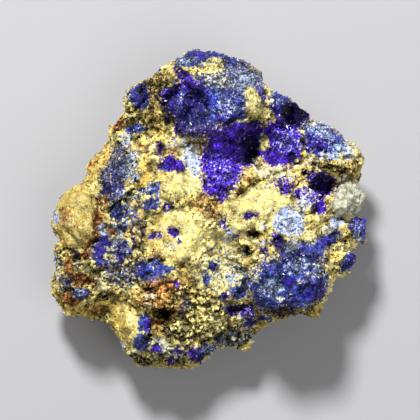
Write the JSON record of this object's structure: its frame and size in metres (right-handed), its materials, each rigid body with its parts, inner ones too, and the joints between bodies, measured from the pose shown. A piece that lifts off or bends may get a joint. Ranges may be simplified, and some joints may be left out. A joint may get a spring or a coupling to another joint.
{
  "type": "linarite specimen",
  "caption": "Hand-sized piece of crumbly ochre host rock with crusts and vugs of small deep blue linarite crystals, lying on its broken back.",
  "frame": {"origin": "middle of the specimen's outline, on the plane that its back rests on", "axes": "+Z out of the crystal-bearing display face, up as it lies; +Y towards the crown; +X towards the shelf and the side vug"},
  "size_m": [0.0498, 0.0504, 0.0228],
  "materials": {
    "matrix": "matt, crumbly ochre and rust-brown rock",
    "linarite_crust": "fine blue crystals, bright on their flat faces",
    "linarite_druse": "glossy violet-blue crystals",
    "quartz": "pale, cloudy, waxy quartz"
  },
  "bodies": {
    "root": {"matrix": "matrix", "crown_crust": "linarite_crust", "shoulder_crust": "linarite_crust", "cave_druse": "linarite_druse", "main_vug_druse": "linarite_druse", "shelf_crust": "linarite_crust", "side_vug_druse": "linarite_druse", "right_edge_crust": "linarite_crust", "lower_edge_crust": "linarite_crust", "lower_right_crust": "linarite_crust", "lower_middle_crust": "linarite_crust", "left_crust": "linarite_crust", "lower_left_crust": "linarite_crust", "centre_left_crust": "linarite_crust", "foot_crust": "linarite_crust", "quartz_knob": "quartz"}
  },
  "joints": []
}
